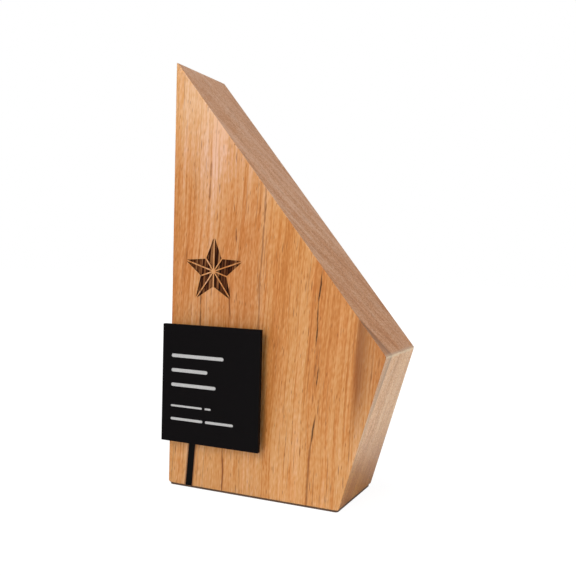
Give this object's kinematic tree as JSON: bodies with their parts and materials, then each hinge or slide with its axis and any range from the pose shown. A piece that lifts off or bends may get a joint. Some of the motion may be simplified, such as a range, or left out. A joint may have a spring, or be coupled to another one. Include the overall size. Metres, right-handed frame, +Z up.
{
  "type": "wooden award block",
  "caption": "Free-standing award: an angular, pointed hardwood block with an engraved star, a resin vein and a black name plate that floats in front of it on studs and spacers.",
  "frame": {"origin": "middle of the bounding box's underside, on the surface that the award stands on", "axes": "+Z is up towards the block's peak, -Y is the way the name plate faces, and +X is to the viewer's right"},
  "size_m": [0.1064, 0.052, 0.201],
  "materials": {
    "hardwood": "warm orange-tan hardwood with upright grain and dark gum lines, sanded and oiled",
    "black_resin": "black epoxy resin, sanded flush with the wood and oiled",
    "felt": "dark brown pressed felt",
    "black_plate": "satin black acrylic sheet",
    "light_enamel": "light grey enamel, wiped level with the plate",
    "black_spacer": "black nylon",
    "steel_stud": "plain zinc-plated rod"
  },
  "bodies": {
    "root": {"hardwood_block": "hardwood", "vein_resin": "black_resin", "base_felt": "felt", "name_plate": "black_plate", "title_bar_upper": "light_enamel", "title_bar_middle": "light_enamel", "title_bar_lower": "light_enamel", "small_bar_left": "light_enamel", "small_bar_right": "light_enamel", "name_bar_left": "light_enamel", "name_bar_right": "light_enamel", "spacer_lower_left": "black_spacer", "spacer_lower_right": "black_spacer", "spacer_upper_left": "black_spacer", "spacer_upper_right": "black_spacer", "stud_lower_left": "steel_stud", "stud_lower_right": "steel_stud", "stud_upper_left": "steel_stud", "stud_upper_right": "steel_stud"}
  },
  "joints": []
}
